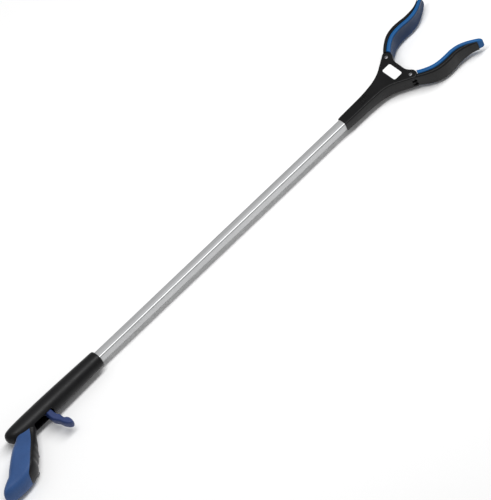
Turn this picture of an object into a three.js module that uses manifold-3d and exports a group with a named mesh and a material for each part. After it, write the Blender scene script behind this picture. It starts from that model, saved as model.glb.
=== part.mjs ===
// Reacher grabber: pistol grip and trigger, square tube with a pull rod inside, and a head with two rubber-lined jaws.
// Millimetres, +Z up. The tool lies on its side: +X from handle to jaws, -Y towards the trigger and the grip.
// Shapes are written in the tool's own axes (X = 0 on the line of the jaw pivots, Y = Z = 0 on the tube's axis),
// and the whole group is then moved so that the origin is at the centre of its base.
import * as THREE from "three";
import { mergeVertices } from "three/addons/utils/BufferGeometryUtils.js";
import Module from "manifold-3d";

const wasm = await Module();
wasm.setup();

// ---- driving dimensions ----
const GAP = 0.3; // between pieces that meet
const SHIFT = [339.93, 4.64, 15.5]; // tool axes to the part's frame

const TUBE_HALF = 6.35; // 12.7 mm square tube
const TUBE_CORNER = 2.5;
const TUBE_WALL = 1.2;
const TUBE_REAR_X = -628;
const TUBE_FRONT_X = -48;

const BARREL_FRONT_X = -552.2;
const BARREL_WALL = 2.2;

const ROD_R = 1.5;
const ROD_REAR_X = -637.5;
const ROD_FRONT_X = -15.5;

const TRIGGER_PIVOT = [-652, 8.2];
const TRIGGER_PIN_R = 1.3;
const TRIGGER_DRIVE = [-652, 0];

const JAW_PIVOT = [0, 22.8];
const JAW_PIN_R = 2.0;
const JAW_EAR_R = 8.5; // rounded end of the head round each pivot
const JAW_SHOULDER_R = 9.0; // where the jaw reaches its full depth
const JAW_LEVER = [-4.21, 12.64]; // drive pin of the upper jaw
const DRIVE_PIN_R = 1.5;

const SLEEVE_REAR_X = -105;
const HEAD_HALF = 10; // half thickness of the head's flat part
const GRIP_HALF = 15.5; // half thickness of the grip at the butt

// ---- helpers ----
const solid = (g) => {
  const s = g.index ? g.toNonIndexed() : g.clone();
  const p = new THREE.BufferGeometry().setAttribute("position", s.getAttribute("position"));
  const m = mergeVertices(p, 1e-4);
  const pos = m.attributes.position.array;
  const idx = new Uint32Array(m.index.array);
  let vol = 0;
  for (let i = 0; i < idx.length; i += 3) {
    const [a, b, c] = [idx[i] * 3, idx[i + 1] * 3, idx[i + 2] * 3];
    vol += pos[a] * (pos[b + 1] * pos[c + 2] - pos[b + 2] * pos[c + 1])
      - pos[a + 1] * (pos[b] * pos[c + 2] - pos[b + 2] * pos[c])
      + pos[a + 2] * (pos[b] * pos[c + 1] - pos[b + 1] * pos[c]);
  }
  if (vol < 0) for (let i = 0; i < idx.length; i += 3) [idx[i + 1], idx[i + 2]] = [idx[i + 2], idx[i + 1]];
  return new wasm.Manifold(new wasm.Mesh({ numProp: 3, vertProperties: pos, triVerts: idx }));
};
const geometryOf = (s) => {
  const m = s.getMesh();
  const n = m.numProp;
  const v = new Float32Array((m.vertProperties.length / n) * 3);
  for (let i = 0; i < v.length / 3; i++) v.set(m.vertProperties.subarray(i * n, i * n + 3), i * 3);
  const g = new THREE.BufferGeometry()
    .setAttribute("position", new THREE.BufferAttribute(v, 3))
    .setIndex(new THREE.BufferAttribute(new Uint32Array(m.triVerts), 1));
  const flat = g.toNonIndexed();
  flat.computeVertexNormals();
  return flat;
};
const cut = (a, ...rest) => rest.reduce((s, r) => s.subtract(r), a);
const join = (a, ...rest) => rest.reduce((s, r) => s.add(r), a);

// Box from its low and high corners.
const box = (lo, hi) => {
  const g = new THREE.BoxGeometry(hi[0] - lo[0], hi[1] - lo[1], hi[2] - lo[2]);
  g.translate((lo[0] + hi[0]) / 2, (lo[1] + hi[1]) / 2, (lo[2] + hi[2]) / 2);
  return solid(g);
};
// Cylinder along Z.
const cylZ = (x, y, r, z0, z1, n = 24) => {
  const g = new THREE.CylinderGeometry(r, r, z1 - z0, n);
  g.rotateX(Math.PI / 2);
  g.translate(x, y, (z0 + z1) / 2);
  return solid(g);
};
// Cylinder along X.
const cylX = (x0, x1, r, n = 12, y = 0, z = 0) => {
  const g = new THREE.CylinderGeometry(r, r, x1 - x0, n);
  g.rotateZ(Math.PI / 2);
  g.translate((x0 + x1) / 2, y, z);
  return solid(g);
};
// Prism of an XY outline between two heights.
const prism = (pts, z0, z1) => {
  const g = new THREE.ExtrudeGeometry(new THREE.Shape(pts.map(([x, y]) => new THREE.Vector2(x, y))), {
    depth: z1 - z0, bevelEnabled: false, steps: 1,
  });
  g.translate(0, 0, z0);
  return solid(g);
};
// Closed skin through a row of rings; each ring is {flat: [[u, v]...], at: [[x, y, z]...]}.
const loft = (rings) => {
  const n = rings[0].at.length;
  const pos = [];
  rings.forEach((r) => r.at.forEach((p) => pos.push(...p)));
  const idx = [];
  for (let k = 0; k + 1 < rings.length; k++)
    for (let i = 0; i < n; i++) {
      const j = (i + 1) % n;
      const [a, b, c, d] = [k * n + i, k * n + j, (k + 1) * n + j, (k + 1) * n + i];
      idx.push(a, b, c, a, c, d);
    }
  const cap = (ring, base, forward) => {
    // A tiny uneven offset keeps three points from lying on one line, where the triangulation would drop one.
    const contour = ring.flat.map(([u, v], i) => new THREE.Vector2(u + 1e-4 * Math.sin(i * 12.9), v + 1e-4 * Math.cos(i * 7.7)));
    const turn = Math.sign(THREE.ShapeUtils.area(contour));
    THREE.ShapeUtils.triangulateShape(contour, []).forEach(([a, b, c]) => {
      const same = Math.sign(THREE.ShapeUtils.area([contour[a], contour[b], contour[c]])) === turn;
      idx.push(...(same === forward ? [base + a, base + b, base + c] : [base + a, base + c, base + b]));
    });
  };
  cap(rings[0], 0, false);
  cap(rings[rings.length - 1], (rings.length - 1) * n, true);
  const g = new THREE.BufferGeometry();
  g.setAttribute("position", new THREE.Float32BufferAttribute(pos, 3));
  g.setIndex(idx);
  return solid(g);
};
const lerpTable = (table, x) => {
  if (x <= table[0][0]) return table[0][1];
  for (let i = 1; i < table.length; i++)
    if (x <= table[i][0]) {
      const t = (x - table[i - 1][0]) / (table[i][0] - table[i - 1][0]);
      return table[i - 1][1] + t * (table[i][1] - table[i - 1][1]);
    }
  return table[table.length - 1][1];
};
// Rounded rectangle in (y, z), corner in `seg` steps.
const roundRect = (hy, hz, r, seg = 3) => {
  const out = [];
  [[1, 1, 0], [-1, 1, 1], [-1, -1, 2], [1, -1, 3]].forEach(([sy, sz, q]) => {
    for (let i = 0; i <= seg; i++) {
      const a = (q + i / seg) * (Math.PI / 2);
      out.push([sy * (hy - r) + r * Math.cos(a), sz * (hz - r) + r * Math.sin(a)]);
    }
  });
  return out;
};
// A solid swept along X: stations [x, hy, hz, r].
const beamX = (stations, seg = 3) =>
  loft(stations.map(([x, hy, hz, r]) => {
    const flat = roundRect(hy, hz, r, seg);
    return { flat, at: flat.map(([y, z]) => [x, y, z]) };
  }));

const root = new THREE.Group();
const LOOK = {
  black: { color: 0x1f1f21, roughness: 0.55, metalness: 0 },
  softBlack: { color: 0x242428, roughness: 0.5, metalness: 0 },
  blue: { color: 0x1f3f86, roughness: 0.6, metalness: 0 },
  jawBlue: { color: 0x0d4f8f, roughness: 0.55, metalness: 0 },
  aluminium: { color: 0xb9bcbc, roughness: 0.35, metalness: 1 },
  steel: { color: 0x8f9397, roughness: 0.35, metalness: 1 },
  white: { color: 0xf2f2f2, roughness: 0.45, metalness: 0 },
  nylon: { color: 0xd8d5cc, roughness: 0.6, metalness: 0 },
};
const add = (name, s, look) => {
  const mesh = new THREE.Mesh(geometryOf(s), new THREE.MeshStandardMaterial(LOOK[look]));
  mesh.name = name;
  mesh.position.set(...SHIFT);
  root.add(mesh);
  return s;
};
const FAR = 2000;
const above = box([-FAR, -FAR, 0.1], [FAR, FAR, FAR]);
const below = box([-FAR, -FAR, -FAR], [FAR, FAR, -0.1]);

// ---- main tube ----
const tubeOuter = beamX([[TUBE_REAR_X, TUBE_HALF, TUBE_HALF, TUBE_CORNER], [TUBE_FRONT_X, TUBE_HALF, TUBE_HALF, TUBE_CORNER]], 4);
const tubeIn = TUBE_HALF - TUBE_WALL;
const tubeInner = beamX([[TUBE_REAR_X - 5, tubeIn, tubeIn, 1.4], [TUBE_FRONT_X + 5, tubeIn, tubeIn, 1.4]], 2);
const LATCH = { x0: -69.6, x1: -57.4, y: 3.3, z0: 3.6, z1: 9.0 };
const latchWindow = box([LATCH.x0 - 0.35, -LATCH.y - 0.35, 2], [LATCH.x1 + 0.35, LATCH.y + 0.35, 20]);
const SET_SCREW_X = -572;
const setScrewHole = cylZ(SET_SCREW_X, 0, 1.9, -20, -3, 10);
add("main_tube", cut(tubeOuter, tubeInner, latchWindow, setScrewHole), "aluminium");

// Rod guides: square plugs in the tube's ends.
const plug = (x0, x1) => cut(beamX([[x0, tubeIn - GAP, tubeIn - GAP, 1.2], [x1, tubeIn - GAP, tubeIn - GAP, 1.2]], 2), cylX(x0 - 1, x1 + 1, ROD_R + 0.35));
add("rod_guide_rear", plug(-627.5, -617), "nylon");
add("rod_guide_front", plug(-56, -48.2), "nylon");

// ---- barrel of the handle: oval sections, tail swept up above the grip ----
// [x, top y, bottom y, half z]
const BARREL = [
  [-713.0, 7.0, 0.6, 3.6], [-712.2, 8.6, -1.2, 5.2], [-710.2, 10.9, -3.8, 7.4], [-706.5, 12.6, -7.4, 9.4],
  [-700, 13.4, -10.8, 10.9], [-690, 13.8, -13.0, 11.7], [-676, 14, -14, 12], [-650, 14, -14, 12],
  [-620, 13.5, -13.5, 11.6], [-585, 12.6, -12.6, 10.8], [-556, 11.8, -11.8, 10.1], [-553.2, 11.4, -11.4, 9.7], [BARREL_FRONT_X, 10.5, -10.5, 8.8],
];
const oval = (x, top, bottom, hz, n = 20, inset = 0) => {
  const yc = (top + bottom) / 2;
  const ry = Math.max((top - bottom) / 2 - inset, 0.5);
  const rz = Math.max(hz - inset, 0.5);
  const flat = [];
  for (let i = 0; i < n; i++) {
    const a = ((i + 0.5) / n) * 2 * Math.PI;
    flat.push([yc + ry * Math.cos(a), rz * Math.sin(a)]);
  }
  return { flat, at: flat.map(([y, z]) => [x, y, z]) };
};
const barrelAt = (x) => {
  for (let i = 1; i < BARREL.length; i++)
    if (x <= BARREL[i][0]) {
      const t = (x - BARREL[i - 1][0]) / (BARREL[i][0] - BARREL[i - 1][0]);
      return BARREL[i].map((v, k) => BARREL[i - 1][k] + t * (v - BARREL[i - 1][k]));
    }
  return BARREL[BARREL.length - 1];
};
const barrel = loft(BARREL.map(([x, t, b, z]) => oval(x, t, b, z)));
const chamber = (x0, x1, mids = []) =>
  loft([x0, ...mids, x1].map((x) => { const [, t, b, z] = barrelAt(x); return oval(x, t, b, z, 12, BARREL_WALL); }));

// ---- grip: raked back under the barrel, flared at the butt ----
const GRIP_OUTLINE = [
  [-700, -2], [-706.7, -7.4], [-712.5, -11.2], [-719.3, -15.2], [-728.9, -22.4], [-738.5, -30], [-748.1, -38.3], [-754.8, -44.4], [-760.6, -47.4],
  [-767.3, -50.9], [-772.6, -54.6], [-775.9, -58.4], [-776.9, -61.7], [-774.9, -64.5], [-769, -66.8], [-761.1, -68.2], [-752.4, -68.6], [-742.6, -68.3],
  [-733.9, -66.9], [-726.1, -64.6], [-719.9, -61.3], [-715.5, -57.6], [-712.3, -53], [-708.5, -49.9], [-704.7, -45.9], [-700.6, -42.3], [-696.5, -36.8],
  [-692.2, -32.5], [-688.5, -27.2], [-684.4, -22], [-680, -17.4], [-676.5, -13], [-676, -4],
];
const step = (pts, d) => {
  const n = pts.length;
  return pts.map((p, i) => {
    const a = pts[(i + n - 1) % n];
    const b = pts[(i + 1) % n];
    const t = [b[0] - a[0], b[1] - a[1]];
    const l = Math.hypot(...t);
    return [p[0] - (t[1] / l) * d, p[1] + (t[0] / l) * d];
  });
};
// Inset in small steps; vertices that crowd together are spread along the outline, so it never crosses itself.
const inset = (pts, d) => {
  const count = Math.max(1, Math.ceil(Math.abs(d) / 0.4));
  let out = pts;
  for (let k = 0; k < count; k++) {
    out = step(out, d / count);
    if (d > 0.5) {
      const n = out.length;
      out = out.map((p, i) => {
        const a = out[(i + n - 1) % n];
        const b = out[(i + 1) % n];
        const shortest = Math.min(Math.hypot(p[0] - a[0], p[1] - a[1]), Math.hypot(p[0] - b[0], p[1] - b[1]));
        const w = shortest < 2.4 ? 0.3 : 0;
        return [p[0] * (1 - w) + (w / 2) * (a[0] + b[0]), p[1] * (1 - w) + (w / 2) * (a[1] + b[1])];
      });
    }
  }
  return out;
};
// The outline runs anticlockwise, so the inward normal is on its left.
const crown = [[-1, 4.6], [-0.84, 1.5], [-0.5, 0], [0.5, 0], [0.84, 1.5], [1, 4.6]];
const gripSolid = (hz, extra) => loft(crown.map(([t, d]) => {
  const flat = inset(GRIP_OUTLINE, Math.min(d, 5.3 - extra) + extra);
  return { flat, at: flat.map(([x, y]) => [x, y, t * hz]) };
}));
// The grip thins towards the barrel: half thickness against distance along the grip's own axis.
const NECK = [[-40, 7.6], [-2, 7.6], [6, 8.4], [14, 10.2], [22, 12.6], [30, 14.6], [37, 15.9], [44, 16.6], [110, 16.6]];
const NECK_AT = [-690, -12];
const NECK_DIR = [-0.75, -0.6614];
const neck = (less) => {
  const half = NECK.map(([d, h]) => [d, h - less]);
  const g = new THREE.ExtrudeGeometry(new THREE.Shape([...half, ...half.map(([d, h]) => [d, -h]).reverse()].map(([d, h]) => new THREE.Vector2(d, h))),
    { depth: 160, bevelEnabled: false, steps: 1 });
  g.translate(0, 0, -80);
  g.applyMatrix4(new THREE.Matrix4().makeBasis(
    new THREE.Vector3(NECK_DIR[0], NECK_DIR[1], 0), new THREE.Vector3(0, 0, 1), new THREE.Vector3(NECK_DIR[1], -NECK_DIR[0], 0)));
  g.translate(NECK_AT[0], NECK_AT[1], 0);
  return solid(g);
};
const gripFull = gripSolid(GRIP_HALF, 0).intersect(neck(0));
const gripCore = gripSolid(GRIP_HALF - 2.6, 2.4).intersect(neck(2.4));
const gripCoreClear = gripSolid(GRIP_HALF - 2.6 + GAP, 2.4 - GAP).intersect(neck(2.4 - GAP));
// Seam between the rubber behind and the bare front strip.
const SEAM = [[-684.3, -11.1], [-695.5, -26], [-703.1, -35.1], [-712.6, -44.9], [-721.5, -53.9], [-729.1, -60.6], [-734.9, -64.9], [-737.7, -69.1]];
const behindSeam = prism([...SEAM, [-741, -90], [-900, -90], [-900, 40], [-684.3, 40]], -30, 30);
const frontOfSeam = prism([...SEAM.map(([x, y]) => [x + GAP * 0.75, y - GAP * 0.65]), [-740, -90], [-600, -90], [-600, 40], [-684, 40]].reverse(), -30, 30);
const barrelClear = loft(BARREL.map(([x, t, b, z]) => oval(x, t, b, z, 20, -GAP - 0.1)));
add("grip_overmould", cut(gripFull.intersect(behindSeam), gripCoreClear, barrelClear), "blue");

// ---- housing halves, joined on the plane of the trigger ----
const body = join(barrel, gripCore, gripFull.intersect(frontOfSeam));
const SCREWS = [
  { name: "housing_screw_tail", x: -697, y: 2.5, z: -11.2 },
  { name: "housing_screw_middle", x: -636, y: -8.9, z: -8.9 },
  { name: "housing_screw_grip", x: -702.5, y: -39.3, z: -12.2 },
  { name: "housing_screw_butt", x: -719.6, y: -56.8, z: -14.2 },
];
const gripHollow = loft([-7.4, 7.4].map((z) => {
  const flat = inset(GRIP_OUTLINE, 5.4).filter((_, i) => i % 2 === 0);
  return { flat, at: flat.map(([x, y]) => [x, y, z]) };
}));
const mechanismRoom = join(chamber(-706, -630.5, [-698, -680]), gripHollow.intersect(neck(5)));
const screwPost = (s) => cylZ(s.x, s.y, 3.1, -9.2, 9.2, 10);
const pivotPost = (z0, z1) => cylZ(TRIGGER_PIVOT[0], TRIGGER_PIVOT[1], 2.9, z0, z1, 12);
const inside = join(...SCREWS.map(screwPost), pivotPost(3.9, 11), pivotPost(-11, -3.9)).intersect(body);
const tubeSeat = beamX([[TUBE_REAR_X - GAP, TUBE_HALF + GAP, TUBE_HALF + GAP, TUBE_CORNER], [BARREL_FRONT_X + 5, TUBE_HALF + GAP, TUBE_HALF + GAP, TUBE_CORNER]], 4);
const rodPassage = cylX(-632, -626, 4.4, 16);
const triggerSlot = box([-677, -30, -7.2], [-643.6, -6, 7.2]);
const pinHole = cylZ(TRIGGER_PIVOT[0], TRIGGER_PIVOT[1], TRIGGER_PIN_R + GAP, -8.6, 8.6, 12);
let shell = cut(body, mechanismRoom, chamber(-626.5, -602), chamber(-599, -580), chamber(-563, -556.5));
shell = join(shell, inside);
shell = cut(shell, tubeSeat, rodPassage, triggerSlot, pinHole);
SCREWS.forEach((s) => {
  shell = cut(shell, cylZ(s.x, s.y, 1.6, -20, 6.6, 8), cylZ(s.x, s.y, 3.0, -20, s.z + 1.8, 12));
});
shell = cut(shell, cylZ(SET_SCREW_X, 0, 1.9, -20, -5, 10), cylZ(SET_SCREW_X, 0, 2.9, -20, -8.6, 12));
const biggest = (s) => s.decompose().sort((a, b) => b.volume() - a.volume())[0];
add("housing_left", biggest(shell.intersect(above)), "black");
add("housing_right", biggest(shell.intersect(below)), "black");

// Screws: pan head with a cross recess, plain shank.
const screw = (x, y, zHead, len, headR = 2.7, headH = 1.5, shankR = 1.3) => {
  const profile = [[0, 0], [shankR, 0], [shankR, len], [headR, len], [headR, len + headH * 0.6], [headR * 0.75, len + headH], [0, len + headH]];
  const g = new THREE.LatheGeometry(profile.map(([r, h]) => new THREE.Vector2(r, h)), 10);
  g.rotateX(-Math.PI / 2);
  g.translate(x, y, zHead + len);
  const arm = headR * 0.55;
  return cut(solid(g),
    box([x - arm, y - 0.35, zHead - headH - 1], [x + arm, y + 0.35, zHead - headH + 0.8]),
    box([x - 0.35, y - arm, zHead - headH - 1], [x + 0.35, y + arm, zHead - headH + 0.8]));
};
SCREWS.forEach((s) => add(s.name, screw(s.x, s.y, s.z + 1.5, 4.9 - s.z), "steel"));
add("tube_set_screw", screw(SET_SCREW_X, 0, -8.9, 4.3, 2.6, 1.2, 1.6), "steel");

// ---- trigger ----
const TRIGGER_OUTLINE = [
  [-655.4, -13], [-656, -19], [-655.8, -24], [-654.2, -28.6], [-652.2, -33], [-651.4, -38], [-649.6, -43], [-646.8, -47],
  [-643.4, -49], [-640.8, -48], [-639.6, -44.6], [-639.4, -40.6], [-640.6, -36.6], [-643.4, -33.4], [-643.6, -30], [-643.6, -26],
  [-645.4, -22], [-645.8, -18], [-645.6, -12], [-647, -4], [-648.8, 3], [-649.2, 7], [-649.7, 9], [-651, 10.2], [-653, 10.2], [-654.3, 9], [-654.8, 7],
  [-655.2, 3], [-655.2, -4],
];
const bladeOutline = TRIGGER_OUTLINE.slice(0, 19).concat([[-646, -8.5], [-655.3, -8.5]]);
const blade = loft([[-6.3, 1.2], [-5.6, 0.35], [-4, 0], [4, 0], [5.6, 0.35], [6.3, 1.2]].map(([z, d]) => {
  const flat = inset(bladeOutline, d);
  return { flat, at: flat.map(([x, y]) => [x, y, z]) };
}));
const lever = prism(TRIGGER_OUTLINE, -3.3, 3.3);
add("trigger", cut(join(lever, blade),
  cylZ(...TRIGGER_PIVOT, TRIGGER_PIN_R + GAP, -9, 9, 12),
  cylZ(...TRIGGER_DRIVE, DRIVE_PIN_R + GAP, -9, 9, 12)), "blue");
add("trigger_pivot_pin", cylZ(...TRIGGER_PIVOT, TRIGGER_PIN_R, -8.2, 8.2, 12), "steel");
add("trigger_drive_pin", cylZ(...TRIGGER_DRIVE, DRIVE_PIN_R, -5.9, 5.9, 12), "steel");

// ---- pull rod with its clevis, crosshead and lock nut ----
const cheek = (z0, z1) => prism([[-657.2, -3.4], [-656.2, -4.4], [-634.2, -4.4], [-634.2, 4.4], [-656.2, 4.4], [-657.2, 3.6]], z0, z1);
const clevisSlot = join(cylZ(-652, 1.3, DRIVE_PIN_R + 0.45, -9, 9, 12), cylZ(-652, -0.2, DRIVE_PIN_R + 0.45, -9, 9, 12),
  box([-653.95, -0.2, -9], [-650.05, 1.3, 9]));
add("rod_clevis", cut(join(cheek(3.9, 5.6), cheek(-5.6, -3.9), box([-640.5, -4.4, -5.6], [-634.2, 4.4, 5.6])),
  clevisSlot, cylX(-638, -634, ROD_R + GAP, 12)), "steel");
add("pull_rod", cylX(ROD_REAR_X, ROD_FRONT_X, ROD_R, 12), "steel");
const hex = new THREE.CylinderGeometry(3.2, 3.2, 2.8, 6);
hex.rotateZ(Math.PI / 2);
hex.translate(-32.4, 0, 0);
add("rod_lock_nut", cut(solid(hex), cylX(-35, -30, ROD_R + GAP, 12)), "steel");
const bar = prism([[-7.6, -19.3], [-0.8, -19.3], [-0.8, 19.3], [-7.6, 19.3], [-7.6, 6.4], [-14, 3.4], [-27, 3.4], [-27, -3.4], [-14, -3.4], [-7.6, -6.4]], -1.5, 1.5);
const slotIn = (sy) => join(
  cylZ(JAW_LEVER[0], sy * 12.3, DRIVE_PIN_R + 0.4, -3, 3, 12), cylZ(JAW_LEVER[0], sy * 16.4, DRIVE_PIN_R + 0.4, -3, 3, 12),
  box([JAW_LEVER[0] - 1.9, Math.min(sy * 12.3, sy * 16.4), -3], [JAW_LEVER[0] + 1.9, Math.max(sy * 12.3, sy * 16.4), 3]));
add("crosshead", cut(join(bar, cylX(-30.6, -13, 3.3, 12)), slotIn(1), slotIn(-1), cylX(-32, ROD_FRONT_X + 0.4, ROD_R + GAP, 12)), "nylon");

// Return spring, a coil round the rod between the front guide and the lock nut.
class Coil extends THREE.Curve {
  constructor(x0, x1, r, turns) { super(); Object.assign(this, { x0, x1, r, turns }); }
  getPoint(t, out = new THREE.Vector3()) {
    const a = t * this.turns * 2 * Math.PI;
    return out.set(this.x0 + (this.x1 - this.x0) * t, this.r * Math.cos(a), this.r * Math.sin(a));
  }
}
const wire = new THREE.Shape();
for (let i = 0; i < 5; i++) {
  const a = (i / 5) * 2 * Math.PI;
  i ? wire.lineTo(0.5 * Math.cos(a), 0.5 * Math.sin(a)) : wire.moveTo(0.5, 0);
}
add("return_spring", solid(new THREE.ExtrudeGeometry(wire, { steps: 54, bevelEnabled: false, extrudePath: new Coil(-47.2, -34.6, 3.3, 5) })), "steel");

// ---- head ----
const HEAD = [
  [SLEEVE_REAR_X, 7.35, 7.35, 2.2], [SLEEVE_REAR_X + 0.6, 7.6, 7.6, 2.4], [-85, 7.85, 7.85, 2.3], [-66, 8.15, 8.1, 2.2], [-56, 8.6, 8.5, 2.0],
  [-48, 9.3, 9.0, 1.9], [-40, 10.3, 9.5, 1.8], [-33, 12, 9.9, 1.7], [-30, 13, HEAD_HALF, 1.6], [-25, 15.2, HEAD_HALF, 1.6], [-20, 18, HEAD_HALF, 1.6],
  [-15, 21.2, HEAD_HALF, 1.6], [-10, 24.4, HEAD_HALF, 1.6], [-5, 27.6, HEAD_HALF, 1.6], [0, 30.6, HEAD_HALF, 1.6], [9.5, 36.2, HEAD_HALF, 1.6],
];
const arc = (cx, cy, r, a0, a1, n) => Array.from({ length: n + 1 }, (_, i) => {
  const a = ((a0 + ((a1 - a0) * i) / n) * Math.PI) / 180;
  return [cx + r * Math.cos(a), cy + r * Math.sin(a)];
});
const frontHalf = [[2.4, 0], [2.4, 9], [2.8, 11.6], [3.9, 14.2], ...arc(JAW_PIVOT[0], JAW_PIVOT[1], JAW_EAR_R, -42, 96, 9)];
const frontOutline = [[-120, -60], ...frontHalf.slice(1).map(([x, y]) => [x, -y]).reverse().map((p) => p), ...frontHalf, [-14, 60], [-120, 60]];
frontOutline.splice(1, 0, [-14, -60]);
const headOuter = beamX(HEAD, 3).intersect(prism(frontOutline, -20, 20));
// Room inside: a wedge that follows the side walls, open at both lobes for the jaws.
const wedge = prism([[-46, -6.3], [-38, -7.2], [-30, -9.8], [-20, -15.3], [-10, -21.7], [-5, -24.9], [-2.6, -27], [-2.6, -21], [-0.1, -20.2], [0, -12], [0, 12], [-0.1, 20.2],
  [-2.6, 21], [-2.6, 27], [-5, 24.9], [-10, 21.7], [-20, 15.3], [-30, 9.8], [-38, 7.2], [-46, 6.3]], -7.2, 7.2);
const lobeRoom = (sy) => prism([...arc(0, 22.8, 6.7, 130, 322, 10), ...arc(0, 22.8, 12.2, -42, 96, 6)].map(([x, y]) => [x, sy * y]), -6.4, 6.4);
const HEAD_SCREWS = [{ name: "head_screw_a", x: -25, y: 10.2 }, { name: "head_screw_b", x: -25, y: -10.2 }];
const headPosts = join(...HEAD_SCREWS.map((s) => cylZ(s.x, s.y, 3, -9, 9, 10))).intersect(headOuter);
let head = join(cut(headOuter, wedge, lobeRoom(1), lobeRoom(-1)), headPosts);
const sleeveBore = beamX([[SLEEVE_REAR_X - 5, TUBE_HALF + GAP, TUBE_HALF + GAP, TUBE_CORNER], [-45.5, TUBE_HALF + GAP, TUBE_HALF + GAP, TUBE_CORNER]], 4);
const LABEL = { x0: -18.5, x1: -4.5, y: 12 };
const roundedSlab = (x0, x1, hy, r, z0, z1) => {
  const cx = (x0 + x1) / 2;
  return prism(roundRect((x1 - x0) / 2, hy, r, 4).map(([x, y]) => [cx + x, y]), z0, z1);
};
head = cut(head, sleeveBore, latchWindow, roundedSlab(LABEL.x0 - GAP, LABEL.x1 + GAP, LABEL.y + GAP, 2.6, HEAD_HALF - 0.7, 20));
[1, -1].forEach((sy) => {
  head = cut(head, cylZ(0, sy * 22.8, JAW_PIN_R + GAP, -20, 20, 14), cylZ(0, sy * 22.8, 3.0, HEAD_HALF - 0.8, 20, 16), cylZ(0, sy * 22.8, 3.0, -20, 0.8 - HEAD_HALF, 16));
});
HEAD_SCREWS.forEach((s) => { head = cut(head, cylZ(s.x, s.y, 1.6, -20, 6.4, 8), cylZ(s.x, s.y, 3.0, -20, -8.2, 12)); });
add("head_shell_top", biggest(head.intersect(above)), "softBlack");
add("head_shell_bottom", biggest(head.intersect(below)), "softBlack");
HEAD_SCREWS.forEach((s) => add(s.name, screw(s.x, s.y, -8.5, 13.8), "steel"));
add("label_plate", roundedSlab(LABEL.x0, LABEL.x1, LABEL.y, 2.4, HEAD_HALF - 0.4, HEAD_HALF + 0.15), "white");

// Latch button that holds the sleeve on the tube.
add("latch_button", join(box([LATCH.x0, -LATCH.y, LATCH.z0], [LATCH.x1, LATCH.y, LATCH.z1]),
  box([LATCH.x0 - 1.2, -LATCH.y - 0.9, LATCH.z0], [LATCH.x1 + 1.2, LATCH.y + 0.9, LATCH.z0 + 1.1])), "softBlack");

// ---- jaws ----
// Inner face of the upper jaw, root to tip.
const INNER = [[6.2, 20.2], [10, 24.5], [18.6, 31.6], [28, 36.6], [38, 38.6], [48, 38.8], [58, 38.5], [68.4, 39.9], [79, 43.8], [89.7, 50.2], [98.2, 56.4]];
const innerCurve = new THREE.CatmullRomCurve3(INNER.map(([x, y]) => new THREE.Vector3(x, y, 0)), false, "centripetal");
innerCurve.arcLengthDivisions = 400;
// Tables over x of the inner face.
const DEPTH = [[5, 10.2], [10, 10.8], [20, 12.4], [30, 13.2], [42, 13.3], [54, 13.0], [65, 12.2], [75, 11.0], [85, 9.6], [92, 8.6], [98.2, 7.5]]; // half depth
const RIM = [[5, 6.0], [20, 6.2], [60, 5.9], [80, 5.5], [98.2, 4.9]]; // thickness of the lined edge
const BACK = [[5, 10.6], [12, 10.8], [19, 11.0], [28, 11.6], [38, 11.9], [48, 11.6], [58, 11.1], [68.4, 10.6], [79, 9.0], [90, 7.0], [98.2, 6.2]]; // back of the rib
const RIB = [[5, 8.2], [12, 7.8], [18, 6.6], [26, 5.0], [36, 4.3], [60, 4.0], [98.2, 3.4]]; // half height of the rib
const EDGE = [[5, 1.8], [20, 2.2], [30, 2.6], [98.2, 2.6]]; // rubber over the edge of the plate
const frameAt = (u) => {
  const p = innerCurve.getPointAt(u);
  const t = innerCurve.getTangentAt(u);
  return { x: p.x, y: p.y, nx: -t.y, ny: t.x };
};
const ringAt = (u, flat, sy) => {
  const f = frameAt(u);
  return { flat, at: flat.map(([n, z]) => [f.x + f.nx * n, sy * (f.y + f.ny * n), z]) };
};
const mirrorZ = (half) => [...half, ...half.map(([n, z]) => [n, -z]).reverse()];
const liningSection = (x) => {
  const [h, rim, rib, e] = [DEPTH, RIM, RIB, EDGE].map((t) => lerpTable(t, x));
  const lip = Math.min(rib + 0.35, h - e - 0.25);
  return mirrorZ([
    [1.35, 0.3 * h], [0.35, 0.72 * h], [0, 0.87 * h], [1.3, h], [rim - 1.3, h],
    [rim, 0.88 * h], [rim, lip], [rim - 1.2, lip], [rim - 1.2, h - e], [2.9, h - e],
  ]);
};
const tipSection = (x) => liningSection(x).filter((_, i) => i < 6 || i > 13);
const armSection = (x) => {
  const [h, rim, rib, e, back] = [DEPTH, RIM, RIB, EDGE, BACK].map((t) => lerpTable(t, x));
  const plate = h - e - 0.3;
  const r = Math.min(rib, plate - 0.05);
  const wide = 0.94 * h;
  const c = Math.min(1.5, (back - rim - 0.3) * 0.6);
  return mirrorZ([[3.2, plate], [rim - 1.5, plate], [rim - 1.5, r], [rim + 0.3, r], [rim + 0.3, wide], [back - c, wide], [back, wide - c]]);
};
const uOf = (x) => {
  let [a, b] = [0, 1];
  for (let i = 0; i < 30; i++) { const m = (a + b) / 2; if (innerCurve.getPointAt(m).x < x) a = m; else b = m; }
  return (a + b) / 2;
};
const ARM_END_X = 92;
const ARM_X = [6.4, 11, 16.5, 22.5, 29.5, 38, 48, 58, 67, 75, 83, ARM_END_X];
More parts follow.
